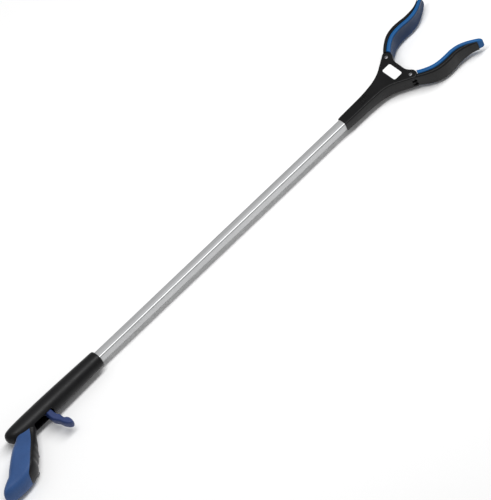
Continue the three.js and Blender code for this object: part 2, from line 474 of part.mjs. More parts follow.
const LINING_X = [9.6, 11, 16.5, 22.5, 29.5, 38, 48, 58, 67, 75, 83, ARM_END_X + 0.35];
[["upper", 1], ["lower", -1]].forEach(([side, sy]) => {
  const pivot = [0, sy * JAW_PIVOT[1]];
  const ring = (section) => (x) => ringAt(uOf(x), section(x), sy);
  const lining = loft(LINING_X.map(ring(liningSection)));
  const tip = loft([[92.3, 0], [95, 0], [96.9, 0.9], [97.9, 2.1]].map(([x, d]) => {
    const flat = tipSection(x).map(([n, z]) => [2.9 + (n - 2.9) * (1 - d / 4.2), z - (Math.sign(z) * d * Math.abs(z)) / 7.5]);
    return ringAt(uOf(x), flat, sy);
  }));
  const rootClear = cylZ(...pivot, JAW_SHOULDER_R + 0.1, -20, 20, 24);
  add("jaw_lining_" + side, biggest(cut(join(lining, tip), cylZ(...pivot, JAW_SHOULDER_R + 0.25, -20, 20, 24))), "jawBlue");
  // Black arm: plate and rib behind the rubber, tongue, boss and lever round the pivot.
  const lever0 = [JAW_LEVER[0], sy * JAW_LEVER[1]];
  const tongue = join(
    cylZ(...pivot, 5.6, -6, 6, 16),
    prism([[0.5, 28.4], [3.8, 32.6], [8.4, 33.5], [10.2, 30.6], [7.4, 27.4], [6.9, 23.4], [5.2, 21.2], [0, 19]].map(([x, y]) => [x, sy * y]), -6, 6),
    prism([[-4.6, 20.2], [-7.2, 13.6], [-6.5, 10.8], [-4.2, 9.6], [-1.8, 10.6], [-0.7, 15.8], [1, 17.7], [3.6, 19.2]].map(([x, y]) => [x, sy * y]), -6, 6));
  const fork = join(cylZ(...pivot, 7.7, -1.9, 1.9, 16), prism([[-12, 20], [-12, 6], [2, 6], [4, 20]].map(([x, y]) => [x, sy * y]), -1.9, 1.9));
  let arm = join(cut(loft(ARM_X.map(ring(armSection))), rootClear), tongue);
  arm = cut(arm, fork, cylZ(...pivot, JAW_PIN_R + GAP, -20, 20, 14), cylZ(...lever0, DRIVE_PIN_R + GAP, -20, 20, 12));
  add("jaw_arm_" + side, biggest(arm), "softBlack");
  add("jaw_drive_pin_" + side, cylZ(...lever0, DRIVE_PIN_R, -5.6, 5.6, 12), "steel");
  // Pivot rivet: shank with a low domed head at both ends.
  const H = HEAD_HALF;
  const rivet = new THREE.LatheGeometry([[0, -H - 0.2], [2.0, -H - 0.2], [2.6, 0.1 - H], [2.6, 0.5 - H], [JAW_PIN_R, 0.5 - H], [JAW_PIN_R, H - 0.5], [2.7, H - 0.5], [2.7, H + 0.1], [2.0, H + 0.7], [0.9, H + 0.95], [0, H + 1]]
    .map(([r, h]) => new THREE.Vector2(r, h)), 14);
  rivet.rotateX(Math.PI / 2);
  rivet.translate(pivot[0], pivot[1], 0);
  add("jaw_pivot_pin_" + side, solid(rivet), "steel");
});

export default root;
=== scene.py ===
import math

import bmesh
import bpy
import numpy as np
from mathutils import Matrix, Vector
from mathutils.geometry import delaunay_2d_cdt


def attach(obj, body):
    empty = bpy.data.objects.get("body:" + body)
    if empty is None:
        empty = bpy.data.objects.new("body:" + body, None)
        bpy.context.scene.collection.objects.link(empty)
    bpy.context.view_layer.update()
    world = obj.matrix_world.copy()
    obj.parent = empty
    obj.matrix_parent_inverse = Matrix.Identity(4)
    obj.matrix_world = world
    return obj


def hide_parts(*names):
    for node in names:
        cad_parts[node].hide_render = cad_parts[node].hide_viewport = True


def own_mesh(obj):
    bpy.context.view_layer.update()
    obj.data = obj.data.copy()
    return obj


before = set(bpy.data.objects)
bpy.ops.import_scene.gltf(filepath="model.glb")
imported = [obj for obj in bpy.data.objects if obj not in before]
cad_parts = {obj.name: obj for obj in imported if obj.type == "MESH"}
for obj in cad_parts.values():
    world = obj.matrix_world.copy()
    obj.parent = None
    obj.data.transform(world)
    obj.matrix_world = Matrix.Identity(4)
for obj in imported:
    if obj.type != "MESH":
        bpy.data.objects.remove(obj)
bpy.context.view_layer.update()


# Shapes are written in the tool's own axes, in millimetres: X = 0 on the line of the jaw pivots, Y = Z = 0 on the tube's axis.
SHIFT = np.array([339.93, 4.64, 15.5])
SOLVER = "MANIFOLD"

# ------------------------------------------------------------------ camera
RIGHT = Vector((0.6974, -0.6741, -0.2430))
UP = Vector((0.6641, 0.4808, 0.5726))
BACK = Vector((-0.2692, -0.5607, 0.7830))
AIM = (np.array([-289.60, 22.60, -83.50]) + SHIFT) / 1000
LENS = 1200.0
cam_data = bpy.data.cameras.new("photo_camera")
cam_data.lens = LENS
cam_data.sensor_width = 36
cam_data.clip_end = 60
cam = bpy.data.objects.new("photo_camera", cam_data)
bpy.context.scene.collection.objects.link(cam)
distance = 0.6394 * LENS / 36
place = Matrix((RIGHT, UP, BACK)).transposed().to_4x4()
place.translation = Vector(AIM) + BACK * distance
cam.matrix_world = place
bpy.context.scene.camera = cam
bpy.context.scene.view_settings.view_transform = "Standard"


# ------------------------------------------------------------------ node materials
def new_material(name):
    m = bpy.data.materials.new(name)
    m.use_nodes = True
    return m, m.node_tree, m.node_tree.nodes["Principled BSDF"]


def noise(nt, scale, detail=3.0, rough=0.55, vector=None, distortion=0.0):
    n = nt.nodes.new("ShaderNodeTexNoise")
    n.inputs["Scale"].default_value = scale
    n.inputs["Detail"].default_value = detail
    n.inputs["Roughness"].default_value = rough
    n.inputs["Distortion"].default_value = distortion
    nt.links.new(vector if vector is not None else coords(nt), n.inputs["Vector"])
    return n.outputs["Fac"]


def coords(nt, scale=None):
    tc = nt.nodes.get("place") or nt.nodes.new("ShaderNodeTexCoord")
    tc.name = "place"
    if scale is None:
        return tc.outputs["Object"]
    mp = nt.nodes.new("ShaderNodeMapping")
    mp.inputs["Scale"].default_value = scale
    nt.links.new(tc.outputs["Object"], mp.inputs["Vector"])
    return mp.outputs["Vector"]


def ramp(nt, fac, lo, hi, a, b):
    r = nt.nodes.new("ShaderNodeMapRange")
    r.inputs["From Min"].default_value = lo
    r.inputs["From Max"].default_value = hi
    r.inputs["To Min"].default_value = a
    r.inputs["To Max"].default_value = b
    nt.links.new(fac, r.inputs["Value"])
    return r.outputs["Result"]


def mix_colour(nt, fac, a, b):
    m = nt.nodes.new("ShaderNodeMix")
    m.data_type = "RGBA"
    nt.links.new(fac, m.inputs[0])
    for i, c in ((6, a), (7, b)):
        if isinstance(c, (tuple, list)):
            m.inputs[i].default_value = (*c, 1)
        else:
            nt.links.new(c, m.inputs[i])
    return m.outputs[2]


def add_up(nt, a, b, weight=1.0):
    m = nt.nodes.new("ShaderNodeMath")
    m.operation = "MULTIPLY_ADD"
    nt.links.new(b, m.inputs[0])
    m.inputs[1].default_value = weight
    nt.links.new(a, m.inputs[2])
    return m.outputs[0]


def bump(nt, bsdf, height, distance, strength=1.0):
    b = nt.nodes.new("ShaderNodeBump")
    b.inputs["Distance"].default_value = distance
    b.inputs["Strength"].default_value = strength
    nt.links.new(height, b.inputs["Height"])
    nt.links.new(b.outputs["Normal"], bsdf.inputs["Normal"])


def worn(nt, colour, lighter, low=0.52, high=0.62, amount=0.5):
    """Edges and corners of the mesh, a little lighter where hands and bags rub."""
    g = nt.nodes.new("ShaderNodeNewGeometry")
    edge = ramp(nt, g.outputs["Pointiness"], low, high, 0.0, amount)
    patch = ramp(nt, noise(nt, 160.0, 4.0), 0.35, 0.7, 0.2, 1.0)
    m = nt.nodes.new("ShaderNodeMath")
    m.operation = "MULTIPLY"
    m.use_clamp = True
    nt.links.new(edge, m.inputs[0])
    nt.links.new(patch, m.inputs[1])
    return mix_colour(nt, m.outputs[0], colour, lighter)


def moulded(name, dark, light, edge, rough=(0.42, 0.58), specular=0.4, grain=0.00006, sheen=0.0, grain_scale=1500.0):
    m, nt, bsdf = new_material(name)
    broad = noise(nt, 22.0, 4.0)
    fine = noise(nt, 420.0, 3.0)
    blend = add_up(nt, ramp(nt, broad, 0.3, 0.7, 0.0, 0.75), ramp(nt, fine, 0.3, 0.7, 0.0, 0.25))
    colour = mix_colour(nt, blend, dark, light)
    colour = worn(nt, colour, edge)
    nt.links.new(colour, bsdf.inputs["Base Color"])
    nt.links.new(ramp(nt, noise(nt, 60.0, 5.0), 0.3, 0.7, rough[0], rough[1]), bsdf.inputs["Roughness"])
    pebble = nt.nodes.new("ShaderNodeTexVoronoi")
    pebble.inputs["Scale"].default_value = grain_scale
    nt.links.new(coords(nt), pebble.inputs["Vector"])
    bump(nt, bsdf, add_up(nt, pebble.outputs["Distance"], noise(nt, grain_scale * 1.7, 2.0), 0.6), grain, 0.6)
    bsdf.inputs["Specular IOR Level"].default_value = specular
    if sheen:
        bsdf.inputs["Sheen Weight"].default_value = sheen
        bsdf.inputs["Sheen Roughness"].default_value = 0.5
    return m


def metal(name, dark, light, rough, streak=(4.0, 700.0, 700.0), grain=0.00001):
    m, nt, bsdf = new_material(name)
    line = noise(nt, 1.0, 4.0, 0.6, coords(nt, streak))
    cloud = noise(nt, 30.0, 4.0)
    fac = add_up(nt, ramp(nt, line, 0.3, 0.7, 0.0, 0.7), ramp(nt, cloud, 0.3, 0.7, 0.0, 0.3))
    nt.links.new(mix_colour(nt, fac, dark, light), bsdf.inputs["Base Color"])
    nt.links.new(ramp(nt, line, 0.25, 0.75, rough[0], rough[1]), bsdf.inputs["Roughness"])
    bump(nt, bsdf, line, grain, 0.5)
    bsdf.inputs["Metallic"].default_value = 1.0
    return m


def jaw_rubber_material():
    m, nt, bsdf = new_material("jaw_rubber_blue")
    broad = noise(nt, 45.0, 4.0)
    edge_colour = mix_colour(nt, ramp(nt, broad, 0.3, 0.7, 0.0, 1.0), (0.001, 0.068, 0.215), (0.003, 0.092, 0.280))
    # The gripping face gets a darker blue: painted shade for the inner face, which the lamps barely light.
    pad_shade_colour = mix_colour(nt, ramp(nt, broad, 0.3, 0.7, 0.0, 1.0), (0.004, 0.022, 0.072), (0.007, 0.033, 0.100))
    a = nt.nodes.new("ShaderNodeAttribute")
    a.attribute_name = "pad_shade"
    colour = mix_colour(nt, a.outputs["Fac"], edge_colour, pad_shade_colour)
    colour = worn(nt, colour, (0.05, 0.20, 0.48), amount=0.35)
    nt.links.new(colour, bsdf.inputs["Base Color"])
    nt.links.new(ramp(nt, noise(nt, 80.0, 5.0), 0.3, 0.7, 0.40, 0.56), bsdf.inputs["Roughness"])
    bump(nt, bsdf, noise(nt, 1800.0, 3.0), 0.00006, 0.6)
    bsdf.inputs["Specular IOR Level"].default_value = 0.25
    return m


def label_material():
    m, nt, bsdf = new_material("label_white")
    colour = mix_colour(nt, ramp(nt, noise(nt, 90.0, 4.0), 0.3, 0.7, 0.0, 1.0), (0.80, 0.81, 0.82), (0.86, 0.86, 0.86))
    nt.links.new(colour, bsdf.inputs["Base Color"])
    nt.links.new(ramp(nt, noise(nt, 300.0, 3.0), 0.3, 0.7, 0.28, 0.4), bsdf.inputs["Roughness"])
    bump(nt, bsdf, noise(nt, 900.0, 2.0), 0.00002, 0.4)
    return m


MAT = {
    "housing": moulded("housing_black", (0.0045, 0.0045, 0.0050), (0.0080, 0.0080, 0.0088), (0.03, 0.03, 0.032), rough=(0.34, 0.46), specular=0.2),
    "head": moulded("head_black", (0.0030, 0.0030, 0.0033), (0.0055, 0.0055, 0.0060), (0.04, 0.04, 0.042), rough=(0.28, 0.38), specular=0.2),
    "grip": moulded("grip_blue_rubber", (0.014, 0.052, 0.165), (0.024, 0.080, 0.235), (0.07, 0.13, 0.33), rough=(0.52, 0.68), specular=0.3, grain=0.0001, sheen=0.12, grain_scale=1000.0),
    "trigger": moulded("trigger_blue", (0.013, 0.027, 0.105), (0.022, 0.046, 0.160), (0.08, 0.14, 0.33), rough=(0.36, 0.5), specular=0.45),
    "jaw": jaw_rubber_material(),
    "tube": metal("drawn_aluminium", (0.47, 0.475, 0.48), (0.56, 0.565, 0.57), (0.38, 0.5)),
    "steel": metal("plated_steel", (0.36, 0.365, 0.38), (0.58, 0.585, 0.60), (0.25, 0.42), streak=(300.0, 300.0, 300.0)),
    "rivet": metal("dark_rivet", (0.13, 0.13, 0.14), (0.24, 0.24, 0.25), (0.3, 0.45), streak=(300.0, 300.0, 300.0)),
    "spring": metal("spring_wire", (0.26, 0.26, 0.27), (0.42, 0.42, 0.43), (0.3, 0.45), streak=(500.0, 500.0, 500.0)),
    "nylon": moulded("natural_nylon", (0.52, 0.50, 0.44), (0.64, 0.62, 0.56), (0.7, 0.69, 0.66), rough=(0.45, 0.6), specular=0.4),
    "label": label_material(),
}


# ------------------------------------------------------------------ solids, in millimetres
def obj_of(V, F, name="tmp"):
    V = np.asarray(V, float)
    me = bpy.data.meshes.new(name)
    me.from_pydata(V.tolist(), [], [list(map(int, f)) for f in F])
    bm = bmesh.new()
    bm.from_mesh(me)
    bmesh.ops.triangulate(bm, faces=[f for f in bm.faces if len(f.verts) > 4])
    if bm.calc_volume(signed=True) < 0:
        bmesh.ops.reverse_faces(bm, faces=bm.faces[:])
    bm.to_mesh(me)
    bm.free()
    o = bpy.data.objects.new(name, me)
    bpy.context.scene.collection.objects.link(o)
    return o


def drop(*objs):
    for o in objs:
        me = o.data
        bpy.data.objects.remove(o)
        if me.users == 0:
            bpy.data.meshes.remove(me)


def copy_of(o):
    c = bpy.data.objects.new("copy", o.data.copy())
    bpy.context.scene.collection.objects.link(c)
    return c


def boolean(a, op, *others, keep=False):
    for b in others:
        m = a.modifiers.new("b", "BOOLEAN")
        m.operation = op
        m.object = b
        m.solver = SOLVER
    bpy.context.view_layer.update()
    me = bpy.data.meshes.new_from_object(a.evaluated_get(bpy.context.evaluated_depsgraph_get()))
    old = a.data
    a.modifiers.clear()
    a.data = me
    if old.users == 0:
        bpy.data.meshes.remove(old)
    if not keep:
        drop(*others)
    return a


def cut(a, *others, keep=False):
    return boolean(a, "DIFFERENCE", *others, keep=keep)


def join(a, *others, keep=False):
    return boolean(a, "UNION", *others, keep=keep)


def common(a, b, keep=False):
    return boolean(a, "INTERSECT", b, keep=keep)


def loft(rings, closed_path=False):
    rings = [np.asarray(r, float) for r in rings]
    n = len(rings[0])
    V = np.vstack(rings)
    F = []
    K = len(rings)
    for k in range(K if closed_path else K - 1):
        a0, b0 = k * n, ((k + 1) % K) * n
        for i in range(n):
            j = (i + 1) % n
            F.append((a0 + i, a0 + j, b0 + j, b0 + i))
    if not closed_path:
        F.append(tuple(range(n))[::-1])
        F.append(tuple(range((K - 1) * n, K * n)))
    return obj_of(V, F)


def box(lo, hi):
    x0, y0, z0 = lo
    x1, y1, z1 = hi
    return loft([[(x, y0, z0), (x, y1, z0), (x, y1, z1), (x, y0, z1)] for x in (x0, x1)])


def ring_xy(cx, cy, r, z, n):
    a = (np.arange(n) + 0.5) / n * 2 * np.pi
    return np.stack([cx + r * np.cos(a), cy + r * np.sin(a), np.full(n, z)], 1)


def cyl_z(x, y, r, z0, z1, n=48):
    return loft([ring_xy(x, y, r, z0, n), ring_xy(x, y, r, z1, n)])


def cyl_x(x0, x1, r, n=48, y=0, z=0):
    a = np.arange(n) / n * 2 * np.pi
    return loft([np.stack([np.full(n, x), y + r * np.cos(a), z + r * np.sin(a)], 1) for x in (x0, x1)])


def lathe_z(x, y, profile, n=48):
    return loft([ring_xy(x, y, max(r, 0.02), z, n) for r, z in profile])


def prism(pts, z0, z1):
    p = np.asarray(pts, float)
    return loft([np.column_stack([p, np.full(len(p), z)]) for z in (z0, z1)])


def round_rect(hy, hz, r, seg=8):
    out = []
    for sy, sz, q in ((1, 1, 0), (-1, 1, 1), (-1, -1, 2), (1, -1, 3)):
        for i in range(seg + 1):
            a = (q + i / seg) * math.pi / 2
            out.append((sy * (hy - r) + r * math.cos(a), sz * (hz - r) + r * math.sin(a)))
    return np.array(out)


def beam_x(stations, seg=8):
    return loft([np.column_stack([np.full(4 * (seg + 1), x), round_rect(hy, hz, r, seg)]) for x, hy, hz, r in stations])


def catmull(P, n=None, closed=False, per=24):
    """Centripetal Catmull-Rom through the points, evenly spaced when n is given."""
    P = np.asarray(P, float)
    Q = np.vstack([P[-1:], P, P[:2]]) if closed else np.vstack([2 * P[0] - P[1], P, 2 * P[-1] - P[-2]])
    out = []
    for i in range(1, len(Q) - 2):
        p0, p1, p2, p3 = Q[i - 1:i + 3]
        t1 = np.linalg.norm(p1 - p0) ** 0.5
        t2 = t1 + np.linalg.norm(p2 - p1) ** 0.5
        t3 = t2 + np.linalg.norm(p3 - p2) ** 0.5
        t = np.linspace(t1, t2, per, endpoint=False)[:, None]
        a1 = (t1 - t) / t1 * p0 + t / t1 * p1
        a2 = (t2 - t) / (t2 - t1) * p1 + (t - t1) / (t2 - t1) * p2
        a3 = (t3 - t) / (t3 - t2) * p2 + (t - t2) / (t3 - t2) * p3
        b1 = (t2 - t) / t2 * a1 + t / t2 * a2
        b2 = (t3 - t) / (t3 - t1) * a2 + (t - t1) / (t3 - t1) * a3
        out.append((t2 - t) / (t2 - t1) * b1 + (t - t1) / (t2 - t1) * b2)
    dense = np.vstack(out + ([] if closed else [P[-1:]]))
    return dense if n is None else even(dense, n, closed)


def even(dense, n, closed=False):
    D = np.vstack([dense, dense[:1]]) if closed else dense
    s = np.concatenate([[0], np.cumsum(np.linalg.norm(np.diff(D, axis=0), axis=1))])
    u = np.linspace(0, s[-1], n, endpoint=not closed)
    return np.stack([np.interp(u, s, D[:, k]) for k in range(D.shape[1])], 1)


def pchip(table):
    """Smooth curve through (x, y) pairs that never overshoots."""
    T = np.asarray(table, float)
    x, y = T[:, 0], T[:, 1]
    h, d = np.diff(x), np.diff(y) / np.diff(x)
    m = np.zeros(len(x))
    m[0], m[-1] = d[0], d[-1]
    for i in range(1, len(x) - 1):
        if d[i - 1] * d[i] > 0:
            w1, w2 = 2 * h[i] + h[i - 1], h[i] + 2 * h[i - 1]
            m[i] = (w1 + w2) / (w1 / d[i - 1] + w2 / d[i])

    def f(v):
        v = np.clip(np.asarray(v, float), x[0], x[-1])
        i = np.clip(np.searchsorted(x, v) - 1, 0, len(x) - 2)
        t = (v - x[i]) / h[i]
        return ((1 + 2 * t) * (1 - t) ** 2 * y[i] + t * (1 - t) ** 2 * h[i] * m[i]
                + t * t * (3 - 2 * t) * y[i + 1] + t * t * (t - 1) * h[i] * m[i + 1])

    return f


def distance_to(P, O):
    A, B = O, np.roll(O, -1, 0)
    AB = B - A
    L2 = np.maximum((AB ** 2).sum(1), 1e-12)
    out = np.empty(len(P))
    for k in range(0, len(P), 1500):
        p = P[k:k + 1500, None]
        t = np.clip(((p - A) * AB).sum(2) / L2, 0, 1)
        out[k:k + 1500] = np.sqrt(((p - A - t[..., None] * AB) ** 2).sum(2).min(1))
    return out


def is_inside(P, O):
    x, y = P[:, 0:1], P[:, 1:2]
    A, B = O, np.roll(O, -1, 0)
    cond = (A[:, 1] > y) != (B[:, 1] > y)
    xs = A[:, 0] + (y - A[:, 1]) * (B[:, 0] - A[:, 0]) / np.where(B[:, 1] == A[:, 1], 1e-9, B[:, 1] - A[:, 1])
    return ((cond & (x < xs)).sum(1) % 2).astype(bool)


def anticlockwise(O):
    O = np.asarray(O, float)
    area = (O[:, 0] * np.roll(O[:, 1], -1) - np.roll(O[:, 0], -1) * O[:, 1]).sum()
    return O if area > 0 else O[::-1].copy()


def inward(O):
    t = np.roll(O, -1, 0) - np.roll(O, 1, 0)
    t /= np.linalg.norm(t, axis=1)[:, None]
    return np.stack([-t[:, 1], t[:, 0]], 1)


def inset(O, d, n=None):
    P = O + inward(O) * d
    P = P[distance_to(P, O) >= abs(d) * 0.985]
    return even(P, n or len(P), True)


def field(O, rows, grid):
    """Triangles over the inside of outline O, dense near its edge: points, faces, distance to the outline."""
    O = anticlockwise(O)
    pts = [O]
    N = inward(O)
    for k, d in enumerate(rows):
        every = 1 if d < 1.6 else 2
        P = (O + N * d)[(k % every)::every]
        good = (distance_to(P, O) >= d * 0.96) & is_inside(P, O)
        pts.append(P[good])
    lo, hi = O.min(0), O.max(0)
    gx, gy = np.meshgrid(np.arange(lo[0], hi[0], grid), np.arange(lo[1], hi[1], grid * 0.866))
    gx = gx + np.where(np.arange(gy.shape[0]) % 2, grid / 2, 0)[:, None]
    G = np.stack([gx.ravel(), gy.ravel()], 1)
    G = G[is_inside(G, O)]
    G = G[distance_to(G, O) > rows[-1] + grid * 0.6]
    pts.append(G)
    P = np.vstack(pts)
    res = delaunay_2d_cdt([Vector(p) for p in P], [], [list(range(len(O)))], 1, 1e-5, False)
    P2 = np.array([tuple(v) for v in res[0]])
    F = np.array([f for f in res[2] if len(f) == 3])
    F = F[is_inside(P2[F].mean(1), O)]
    a, b, c = P2[F[:, 0]], P2[F[:, 1]], P2[F[:, 2]]
    area = (b[:, 0] - a[:, 0]) * (c[:, 1] - a[:, 1]) - (b[:, 1] - a[:, 1]) * (c[:, 0] - a[:, 0])
    F[area < 0] = F[area < 0][:, ::-1]
    edges = {}
    for f in F:
        for i in range(3):
            e = (int(f[i]), int(f[(i + 1) % 3]))
            edges[e] = edges.get(e, 0) + 1
    rim = [e for e in edges if (e[1], e[0]) not in edges]
    on_rim = np.zeros(len(P2), bool)
    for e in rim:
        on_rim[list(e)] = True
    d = distance_to(P2, O)
    d[on_rim] = 0
    return P2, F, d, rim, on_rim


def pillow(O, height, radius, power=2.2, rows=None, grid=1.6):
    """Closed solid, symmetric about z = 0, whose edge is rounded off over `radius`."""
    rows = rows or [0.06, 0.2, 0.42, 0.75, 1.2, 1.8, 2.6, 3.6]
    P, F, d, rim, on_rim = field(O, rows, grid)
    f = (1 - (1 - np.minimum(d / radius, 1)) ** power) ** (1 / power)
    z = height(P[:, 0], P[:, 1]) * f
    n = len(P)
    lower = np.arange(n) + n
    lower[on_rim] = np.arange(n)[on_rim]
    V = np.vstack([np.column_stack([P, z]), np.column_stack([P, -z])])
    faces = [tuple(f) for f in F] + [tuple(lower[f][::-1]) for f in F]
    used = np.zeros(2 * n, bool)
    for f in faces:
        used[list(f)] = True
    index = np.cumsum(used) - 1
    return obj_of(V[used], [tuple(index[list(f)]) for f in faces])


def slab(O, top, fillet, base, rows=None, grid=2.0):
    """Closed solid from the flat z = base up to top(x, y), with a round edge of radius `fillet` at the top."""
    rows = rows or [fillet * (1 - math.cos(a)) for a in np.radians([16, 30, 44, 58, 72, 90])]
    P, F, d, rim, on_rim = field(O, rows, grid)
    k = np.clip(1 - d / fillet, 0, 1)
    z = top(P[:, 0], P[:, 1]) - fillet * (1 - np.sqrt(np.maximum(1 - k * k, 0)))
    n = len(P)
    V = np.vstack([np.column_stack([P, z]), np.column_stack([P, np.full(n, base)])])
    faces = [tuple(f) for f in F] + [tuple(f[::-1] + n) for f in F] + [(b, a, a + n, b + n) for a, b in rim]
    return obj_of(V, faces)


def softened(poly, cuts, seg=4):
    """Polygon with each corner rounded; cuts[i] is how far from corner i the rounding starts."""
    P = np.asarray(poly, float)
    A, B = np.roll(P, 1, 0), np.roll(P, -1, 0)
    out = []
    for p, a, b, c in zip(P, A, B, cuts):
        la, lb = np.linalg.norm(a - p), np.linalg.norm(b - p)
        s, e = p + (a - p) / la * min(c, 0.46 * la), p + (b - p) / lb * min(c, 0.46 * lb)
        for i in range(seg + 1):
            t = i / seg
            out.append((1 - t) ** 2 * s + 2 * t * (1 - t) * p + t * t * e)
    return np.array(out)


def finish_piece(o, name, look, body, *nodes, smooth=32.0, clean=True, biggest=False):
    me = o.data
    bm = bmesh.new()
    bm.from_mesh(me)
    if biggest:
        bm.verts.ensure_lookup_table()
        seen, parts = set(), []
        for v in bm.verts:
            if v.index in seen:
                continue
            stack, part = [v], []
            seen.add(v.index)
            while stack:
                w = stack.pop()
                part.append(w)
                for e in w.link_edges:
                    x = e.other_vert(w)
                    if x.index not in seen:
                        seen.add(x.index)
                        stack.append(x)
            parts.append(part)
        size = lambda p: (max(v.co.x for v in p) - min(v.co.x for v in p)) * (max(v.co.y for v in p) - min(v.co.y for v in p) + 0.1)
        parts.sort(key=size, reverse=True)
        bmesh.ops.delete(bm, geom=[v for p in parts[1:] for v in p], context="VERTS")
    if clean:
        bmesh.ops.remove_doubles(bm, verts=bm.verts[:], dist=0.004)
        bmesh.ops.dissolve_degenerate(bm, dist=0.002, edges=bm.edges[:])
    for v in bm.verts:
        v.co = (v.co + Vector(SHIFT)) / 1000
    bm.to_mesh(me)
    bm.free()
    me.polygons.foreach_set("use_smooth", [True] * len(me.polygons))
    me.set_sharp_from_angle(angle=math.radians(smooth))
    me.update()
    me.materials.clear()
    me.materials.append(MAT[look])
    o.name = name
    me.name = name
    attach(o, body)
    if nodes:
        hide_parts(*nodes)
    return o


FAR = 2000
Z_UP = lambda: box((-FAR, -FAR, 0.08), (FAR, FAR, FAR))
Z_DOWN = lambda: box((-FAR, -FAR, -FAR), (FAR, FAR, -0.08))

# ------------------------------------------------------------------ tube
TUBE_HALF, TUBE_CORNER, TUBE_WALL = 6.35, 2.5, 1.2
TUBE_REAR, TUBE_FRONT = -628.0, -48.0
outer = [(TUBE_REAR, 0.35), (TUBE_REAR + 0.35, 0.0)] + [(x, 0.0) for x in np.linspace(-600, -70, 28)] + [(TUBE_FRONT - 0.35, 0.0), (TUBE_FRONT, 0.35)]
rings = [np.column_stack([np.full(44, x), round_rect(TUBE_HALF - e, TUBE_HALF - e, TUBE_CORNER, 10)]) for x, e in outer]
ti = TUBE_HALF - TUBE_WALL
rings += [np.column_stack([np.full(44, x), round_rect(ti, ti, 1.4, 10)]) for x in (TUBE_FRONT, -200.0, -400.0, TUBE_REAR)]
tube = loft(rings, closed_path=True)
LATCH = dict(x0=-69.6, x1=-57.4, y=3.3)
latch_window = lambda: box((LATCH["x0"] - 0.35, -LATCH["y"] - 0.35, 2), (LATCH["x1"] + 0.35, LATCH["y"] + 0.35, 20))
tube = cut(tube, latch_window(), cyl_z(-572, 0, 1.9, -20, -3))
finish_piece(tube, "square_tube", "tube", "handle", "main_tube")

# ------------------------------------------------------------------ handle
BARREL = [
    (-713.5, 5.0, 2.4, 1.2), (-713.0, 7.0, 0.6, 3.6), (-712.2, 8.6, -1.2, 5.2), (-710.2, 10.9, -3.8, 7.4), (-706.5, 12.6, -7.4, 9.4),
    (-700, 13.4, -10.8, 10.9), (-690, 13.8, -13.0, 11.7), (-676, 14, -14, 12), (-650, 14, -14, 12),
    (-620, 13.5, -13.5, 11.6), (-585, 12.6, -12.6, 10.8), (-558, 11.85, -11.85, 10.15), (-554.4, 11.7, -11.7, 10.0),
    (-553.0, 11.35, -11.35, 9.65), (-552.4, 10.8, -10.8, 9.1), (-552.2, 10.2, -10.2, 8.5),
]
BARREL_FINE = catmull(BARREL, 150)


def oval(x, top, bottom, hz, n=96, inset_by=0.0, power=2.12):
    a = (np.arange(n) + 0.5) / n * 2 * np.pi
    yc, ry, rz = (top + bottom) / 2, max((top - bottom) / 2 - inset_by, 0.4), max(hz - inset_by, 0.4)
    c, s = np.cos(a), np.sin(a)
    y = yc + ry * np.sign(c) * np.abs(c) ** (2 / power)
    z = rz * np.sign(s) * np.abs(s) ** (2 / power)
    return np.stack([np.full(n, x), y, z], 1)


def barrel_at(x):
    return [float(np.interp(x, BARREL_FINE[:, 0], BARREL_FINE[:, k])) for k in (1, 2, 3)]


def barrel(extra=0.0):
    return loft([oval(x, t, b, z, inset_by=-extra) for x, t, b, z in BARREL_FINE])


def chamber(x0, x1, mids=()):
    return loft([oval(x, *barrel_at(x), n=40, inset_by=2.4) for x in (x0, *mids, x1)])


GRIP = [
    (-700, -2), (-706.75, -7.35), (-712.52, -11.16), (-719.26, -15.22), (-728.87, -22.36), (-738.47, -30.01), (-748.06, -38.28), (-754.76, -44.39), (-760.55, -47.38),
    (-767.3, -50.92), (-772.59, -54.61), (-775.93, -58.44), (-776.86, -61.74), (-774.86, -64.54), (-768.95, -66.8), (-761.14, -68.15), (-752.36, -68.65), (-742.62, -68.28),
    (-733.88, -66.92), (-726.13, -64.58), (-719.86, -61.26), (-715.55, -57.6), (-712.32, -52.96), (-708.48, -49.94), (-704.66, -45.9), (-700.64, -42.25), (-696.45, -36.75),
    (-692.25, -32.49), (-688.45, -27.21), (-684.4, -22), (-680, -17.4), (-676.5, -13), (-676, -4),
]
grip_outline = anticlockwise(catmull(GRIP, 420, closed=True))
flat_height = lambda h: (lambda x, y: np.full(np.shape(x), h))
ROWS = [0.05, 0.18, 0.4, 0.75, 1.2, 1.8, 2.5, 3.3, 4.2, 5.2, 6.3, 7.5, 8.8]
# The grip thins towards the barrel, which stands out in front of it.
NECK = pchip([(-60, 7.6), (-2, 7.6), (6, 8.4), (14, 10.2), (22, 12.6), (30, 14.5), (37, 15.4), (44, 15.5), (140, 15.5)])
grip_height = lambda less: (lambda x, y: NECK(np.clip((np.asarray(x) + 690) * -0.75 + (np.asarray(y) + 12) * -0.6614, -59, 139)) - less)
grip_full = pillow(grip_outline, grip_height(0), 9.5, 2.35, rows=ROWS)
grip_core = pillow(inset(grip_outline, 2.4, 320), grip_height(2.6), 8.2, 2.35)
grip_core_clear = pillow(inset(grip_outline, 2.15, 320), grip_height(2.35), 8.2, 2.35)
SEAM = catmull([(-682.2, -7.2), (-685.2, -12.2), (-695.5, -26), (-703.1, -35.1), (-712.6, -44.9), (-721.5, -53.9), (-729.1, -60.6), (-734.9, -64.9), (-737.7, -69.1)], 60)
behind = prism([*SEAM, (-741, -90), (-900, -90), (-900, 40), (-682.2, 40)], -30, 30)
front = prism([*(SEAM + np.array([0.24, -0.2])), (-740, -90), (-600, -90), (-600, 40), (-681.9, 40)], -30, 30)

rubber = common(copy_of(grip_full), behind)
rubber = cut(rubber, grip_core_clear, barrel(0.3))
finish_piece(rubber, "grip_rubber", "grip", "handle", "grip_overmould", biggest=True)

